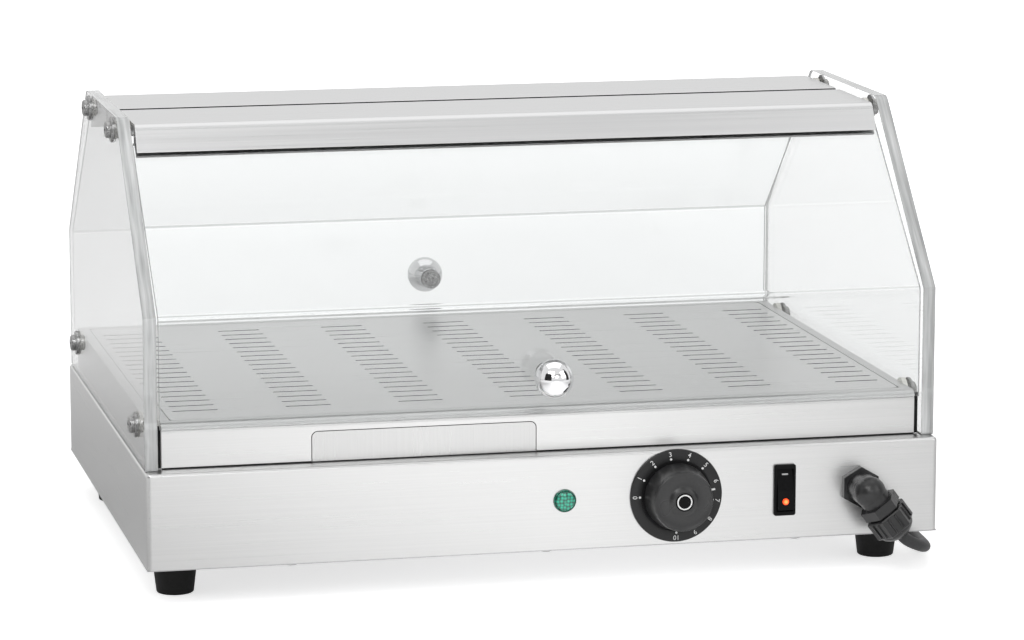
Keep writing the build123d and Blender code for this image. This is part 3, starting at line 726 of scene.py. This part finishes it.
def dressDeck():
    tray = easedCopy("tray_sheet", "slotted_tray", "deckSteel", "tray", deck["edge"])
    refinish(tray, "paintedGapShade", inSlots)
    # near-black strips along the apron's foot stand for the shade in the seam: painted shade
    for name, (start, end) in deck["seamEnds"].items():
        smallBar(f"deck_seam_shade_{name}", (end - start, *deck["seam"]), ((start + end) / 2, *deck["seamSpot"]),
                 (0, 0, 0), "paintedGapShade", "base")
    smallBar("pan_lip", deck["lip"], deck["lipSpot"], (0, 0, 0), "panSteel", "pan")
    # near-black bars at the apron's ends stand for the shade in the gaps beside the panels: painted shade
    x, y, z = deck["endShadeSpot"]
    for name, turn in (("left", -1), ("right", 1)):
        smallBar(f"deck_end_shade_{name}", deck["endShadeSize"], (turn * x, y, z), (0, 0, 0), "paintedGapShade", "base")


dressDeck()
print("deck dressed")

# Hem: the folded lower edge of the casing, a thin line all round
hem = {
    "halfWidth": 0.2498,
    "halfDepth": 0.1838,
    "height": 0.0254,
    "thick": 0.0006,
}


def hemBar(name, size, x, y):
    smallBar(f"casing_hem_{name}", size, (x, y, hem["height"]), (0, 0, 0), "plainSteel", "base", 0.0001)


def makeHem():
    x, y, thick = hem["halfWidth"], hem["halfDepth"], hem["thick"]
    hemBar("front", (2 * x, thick, thick), 0, -y)
    hemBar("rear", (2 * x, thick, thick), 0, y)
    hemBar("left", (thick, 2 * y, thick), -x, 0)
    hemBar("right", (thick, 2 * y, thick), x, 0)


makeHem()
print("casing hemmed")

# Dial: marks and numbers on the scale plate, and a knob whose raised hub holds a plain ring
dial = {
    "x": 0.08,
    "z": 0.0563,
    "wall": -0.184,
    "face": -0.186,
    "dot": [(0.75, -0.05), (0.75, 0.05), (0.7, 0.08)],
    "dotReach": 0.0234,
    "numberReach": 0.0264,
    "numberSize": 0.0042,
    "numberRelief": 0.00004,
    "numbers": 11,
    "step": 27,
    "plate": [(29.3, 0), (29.3, 1.35), (29.1, 1.75), (28.6, 1.98), (22.6, 2.0), (22.25, 1.9), (22.1, 1.4),
              (21.9, 1.3), (5.2, 1.3), (5.0, 0.3)],
    "barNumber": 6,  # this number's mark is a bar, set a little past it
    "barAngle": 7,
    "bar": (0.003, 0.0012, 0.0001),
    "knob": [(18, 2.6), (20.3, 2.6), (20.8, 3.1), (20.7, 6), (19.9, 12), (19.2, 17.4), (18.9, 18.7),
             (18.6, 19.6), (17.8, 20), (17.0, 19.8), (16.4, 19.5), (9.8, 19.5), (9.3, 19.7), (8.6, 20.3),
             (7.6, 20.9), (6.6, 21.2), (5.9, 21.3), (5.7, 21.0)],
    "cap": [(5.6, 17.2), (5.6, 21.1), (5.4, 21.35), (5.1, 21.4)],
    "ring": (0.0040, 0.0048, -0.2055),  # inner radius, outer radius and depth
}


def dialSpot(reach, angle, y):
    return (dial["x"] + reach * math.cos(angle), y, dial["z"] + reach * math.sin(angle))


def dialNumber(number, angle):
    clearSelection()
    bpy.ops.object.text_add(location=(0, 0, 0))
    obj = bpy.context.object
    obj.data.body = str(number)
    obj.data.size = dial["numberSize"]
    obj.data.align_x = "CENTER"
    obj.data.align_y = "CENTER"
    obj.data.extrude = dial["numberRelief"]
    obj.data.resolution_u = 4
    bpy.ops.object.convert(target="MESH")
    obj = bpy.context.object
    obj.rotation_euler = (0, 0, angle - math.pi / 2)
    bpy.ops.object.transform_apply(location=False, rotation=True, scale=False)
    spot = dialSpot(dial["numberReach"], angle, dial["face"] - dial["numberRelief"])
    return place(obj, f"dial_number_{number}", spot, faceFront, "whitePrint", "base")


def dialScale():
    for number in range(dial["numbers"]):
        angle = math.pi - math.radians(dial["step"]) * number
        dialNumber(number, angle)
        if number == dial["barNumber"]:
            angle = math.radians(dial["barAngle"])
            spot = dialSpot(dial["dotReach"], angle, dial["face"])
            smallBar("dial_bar_mark", dial["bar"], spot, faceFront, "whitePrint", "base", 0.00003, angle)
        else:
            spot = dialSpot(dial["dotReach"], angle, dial["face"])
            turned(f"dial_dot_{number}", dial["dot"], spot, faceFront, "whitePrint", "base", 20)


def dialDiscs():
    wall = (dial["x"], dial["wall"], dial["z"])
    plate = turned("dial_plate", dial["plate"], wall, faceFront, "blackScale", "base", 128)
    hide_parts("dial_bezel")
    knob = turned("dial_grip", dial["knob"], wall, faceFront, "blackPlastic", "dial", 128)
    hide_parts("dial_knob")
    cap = turned("dial_button", dial["cap"], wall, faceFront, "blackGloss", "dial", 64)
    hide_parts("dial_cap")


def flatRing(name, inner, outer, spot, material, body):
    clearSelection()
    bpy.ops.mesh.primitive_circle_add(vertices=96, radius=inner, location=(0, 0, 0))
    obj = bpy.context.object
    startEdit()
    bpy.ops.mesh.select_all(action="SELECT")
    bpy.ops.mesh.extrude_edges_move()
    share = outer / inner
    bpy.ops.transform.resize(value=(share, share, 1), center_override=(0, 0, 0))
    bpy.ops.mesh.select_all(action="SELECT")
    bpy.ops.mesh.normals_make_consistent(inside=False)
    endEdit()
    solid = obj.modifiers.new("thickness", "SOLIDIFY")
    solid.thickness = 0.0001
    bpy.ops.object.modifier_apply(modifier="thickness")
    return place(obj, name, spot, faceFront, material, body)


dialScale()
dialDiscs()
inner, outer, ringY = dial["ring"]
flatRing("dial_ring", inner, outer, (dial["x"], ringY, dial["z"]), "whitePrint", "dial")
print("dial made")

# Pilot lamp: domed lens in a slim collar
pilot = {
    "spot": (0.0092, -0.184, 0.0563),
    "lens": [(6.0, 0.2), (6.0, 2.0), (5.6, 2.7), (4.6, 3.15), (3.0, 3.4), (1.2, 3.5)],
    "collar": [(7.25, 0), (7.25, 0.7), (7.0, 1.2), (6.5, 1.4), (6.05, 1.1), (6.05, 0.4)],
}
lens = turned("pilot_dome", pilot["lens"], pilot["spot"], faceFront, "greenLens", "base", 64)
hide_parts("pilot_lens")
turned("pilot_collar", pilot["collar"], pilot["spot"], faceFront, "greenRim", "base", 64)
print("pilot lamp made")

# Rocker switch: printed dash above, lamp window below
rocker = {
    "dash": (0.004, 0.0003, 0.001),
    "dashSpot": (0.15, -0.18491, 0.0663),
    "lean": -12.8,
    "lamp": [(2.1, 0.2), (2.1, 0.9), (1.9, 1.25), (1.4, 1.5), (0.7, 1.6)],
    "lampSpot": (0.15, -0.1869, 0.0493),
}
smallBar("rocker_dash", rocker["dash"], rocker["dashSpot"], (math.radians(rocker["lean"]), 0, 0),
         "greyPrint", "rocker", 0.0001)
window = turned("rocker_window", rocker["lamp"], rocker["lampSpot"], faceFront, "redLens", "rocker", 48)
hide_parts("rocker_lamp")
print("switch made")

# Gland nut: ribbed hexagon with a domed mouth
glandNut = {
    "elbow": (0.1993, -0.2045, 0.0565),
    "along": (0.6, 0, -0.8),
    "flats": 24,
    "body": [(0.95, 16), (1.0, 16.6), (1.0, 28.2), (0.95, 29)],
    "dome": [(11.8, 28.2), (11.6, 29.6), (11.0, 30.8), (10.0, 31.9), (8.9, 32.9), (7.9, 33.6), (7.3, 34),
             (6.9, 33.9), (6.4, 33.2), (6.25, 32)],
    "ribs": 7,
    "ribPitch": 1.35,
    "rib": (0.0008, 0.0011, 0.0102),
    "ribMiddle": 0.0224,
}


def glandNutPiece():
    toOutlet = Vector(glandNut["along"]).to_track_quat("Z", "Y").to_euler()
    corner = glandNut["flats"] / math.sqrt(3)
    rings = [(corner * share, height) for share, height in glandNut["body"]]
    still = (0, 0, 0)
    parts = [turned("gland_hexagon", rings, still, still, "glandPlastic", "base", steps=6, smooth=10)]
    parts.append(turned("gland_dome", glandNut["dome"], still, still, "glandPlastic", "base", 64, smooth=40))
    reach = glandNut["flats"] / 2 / 1000
    for side in range(6):
        angle = math.radians(60 * side + 30)  # the middle of each flat
        for index in range(glandNut["ribs"]):
            shift = (index - (glandNut["ribs"] - 1) / 2) * glandNut["ribPitch"] / 1000
            x = reach * math.cos(angle) - shift * math.sin(angle)
            y = reach * math.sin(angle) + shift * math.cos(angle)
            spot = (x, y, glandNut["ribMiddle"])
            parts.append(smallBar("gland_rib", glandNut["rib"], spot, still, "glandPlastic", "base", 0.0003,
                                  angle))
    clearSelection()
    for part in parts:
        part.select_set(True)
    bpy.context.view_layer.objects.active = parts[0]
    bpy.ops.object.join()
    nut = bpy.context.object
    place(nut, "gland_cap", glandNut["elbow"], toOutlet, "glandPlastic", "base")
    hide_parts("gland_nut")
    return nut


capNut = glandNutPiece()
print("gland made")

# Stage: pale floor, white surroundings, soft lamps, and dark cards for the metal to mirror; the floor that
# metal mirrors carries a painted pool of light and painted shade
stage = {
    "floorSize": 40,
    "floorTone": 0.88,
    "floorLift": (0.6, 1.0),  # near the object and far from it
    "floorLiftReach": (0.8, 2.4),
    "floorInMetal": (0.0, 0.82),  # away from the front, and in the painted pool of light before it
    "floorToneInMetal": (0.62, 0.98),  # painted shade near the object, and further out
    "floorToneReach": (0.45, 0.85),
    "poolPlace": (0.05, -0.18, 0),
    "poolStretch": (1, 0.3, 1),
    "poolReach": (0.4, 0.05),
    "worldForDiffuse": 0.5,
    "worldInMetal": (0.8, 0.95),  # overhead and in front, and low behind
    "behindReach": (0.1, 0.8),
    "lowReach": (0.3, 0.75),
    "lampAim": (0, 0, 0.12),
    "lamps": [
        ("key", (-1.1, -1.9, 1.7), 24, 1.5),
        ("fill", (1.5, -1.3, 1.1), 7, 1.4),
        ("front_low", (0.2, -2.6, 1.15), 4, 0.8),
        ("top", (0.1, 0.5, 2.2), 10, 2.4),
    ],
    "cards": [
        ("card_right", (1.7, -0.7, 1.0), (0.6, 2.0), 0.04),
        ("card_left", (-1.25, -1.25, 0.75), (1.3, 1.3), 0.03),
        ("card_high", (0.2, -2.4, 1.5), (2.6, 0.28), 0.03),
    ],
}


# One for what the camera, metal or glass shows, and nought for the light on matt surfaces
def seenWhite(material, rays):
    first = addNode(material, "ShaderNodeMath", operation="MAXIMUM")
    link(material, rays.outputs["Is Camera Ray"], first.inputs[0])
    link(material, rays.outputs["Is Glossy Ray"], first.inputs[1])
    second = addNode(material, "ShaderNodeMath", operation="MAXIMUM")
    link(material, first.outputs["Value"], second.inputs[0])
    link(material, rays.outputs["Is Transmission Ray"], second.inputs[1])
    return second.outputs["Value"]


# One for what metal mirrors, and nought for all else
def inMetal(material, rays):
    node = addNode(material, "ShaderNodeMath", operation="MINIMUM")
    link(material, rays.outputs["Glossy Depth"], node.inputs[0])
    node.inputs[1].default_value = 1
    return node.outputs["Value"]


def plainValue(material, value):
    node = addNode(material, "ShaderNodeValue")
    node.outputs[0].default_value = value
    return node.outputs[0]


def makeFloor():
    clearSelection()
    bpy.ops.mesh.primitive_plane_add(size=stage["floorSize"], location=(0, 0, 0))
    floor = bpy.context.object
    floor.name = "floor"
    material, shader = newMaterial("pale_floor", (1, 1, 1), 0.9)
    shader.inputs["Specular IOR Level"].default_value = 0
    shader.inputs["Emission Color"].default_value = (1, 1, 1, 1)
    rays = addNode(material, "ShaderNodeLightPath")
    reach = distanceFrom(material, (0, 0, 0))
    seen = spread(material, reach, *stage["floorLift"], *stage["floorLiftReach"])
    # as metal sees it, the floor carries a painted pool of light before the object and painted shade near it
    poolDistance = distanceFrom(material, stage["poolPlace"], stage["poolStretch"])
    pool = spread(material, poolDistance, *stage["floorInMetal"], *stage["poolReach"])
    lift = mixValues(material, inMetal(material, rays), seen, pool)
    metalTones = spread(material, reach, *stage["floorToneInMetal"], *stage["floorToneReach"])
    matt = plainValue(material, stage["floorTone"])
    tone = mixValues(material, inMetal(material, rays), matt, metalTones)
    link(material, tone, shader.inputs["Base Color"])
    strength = multiply(material, seenWhite(material, rays), lift)
    link(material, strength, shader.inputs["Emission Strength"])
    floor.data.materials.append(material)


def makeWorld():
    world = bpy.data.worlds.new("studio")
    bpy.context.scene.world = world
    world.use_nodes = True
    background = world.node_tree.nodes["Background"]
    background.inputs["Color"].default_value = (1, 1, 1, 1)
    rays = addNode(world, "ShaderNodeLightPath")
    coords = addNode(world, "ShaderNodeTexCoord")
    split = addNode(world, "ShaderNodeSeparateXYZ")
    link(world, coords.outputs["Generated"], split.inputs["Vector"])
    behind = spread(world, split.outputs["Y"], 0, 1, *stage["behindReach"])
    low = spread(world, split.outputs["Z"], 1, 0, *stage["lowReach"])
    share = multiply(world, behind, low)
    metal = spread(world, share, *stage["worldInMetal"], 0, 1)
    seen = mixValues(world, inMetal(world, rays), plainValue(world, 1), metal)
    matt = plainValue(world, stage["worldForDiffuse"])
    level = mixValues(world, seenWhite(world, rays), matt, seen)
    link(world, level, background.inputs["Strength"])


def makeLamps():
    for name, spot, watts, size in stage["lamps"]:
        data = bpy.data.lights.new(name, "AREA")
        data.energy = watts
        data.size = size
        lamp = bpy.data.objects.new(name, data)
        bpy.context.scene.collection.objects.link(lamp)
        lamp.location = spot
        aim = Vector(stage["lampAim"]) - Vector(spot)
        lamp.rotation_euler = aim.to_track_quat("-Z", "Y").to_euler()


# Dark cards stand where the polished metal looks; only its reflections show them
def makeCards():
    for name, spot, (wide, high), grey in stage["cards"]:
        clearSelection()
        bpy.ops.mesh.primitive_plane_add(size=1, location=spot)
        card = bpy.context.object
        card.name = name
        card.scale = (wide, high, 1)
        card.rotation_euler = (math.radians(90), 0, math.atan2(spot[0], -spot[1]))
        material, shader = newMaterial(name, (grey, grey, grey), 0.9)
        shader.inputs["Specular IOR Level"].default_value = 0
        card.data.materials.append(material)
        card.visible_camera = False
        card.visible_diffuse = False
        card.visible_transmission = False
        card.visible_shadow = False


makeFloor()
makeWorld()
makeLamps()
makeCards()
bpy.context.scene.view_settings.view_transform = "Standard"
print("stage set")

mainsCord.data.materials.append(finishes["cableJacket"])
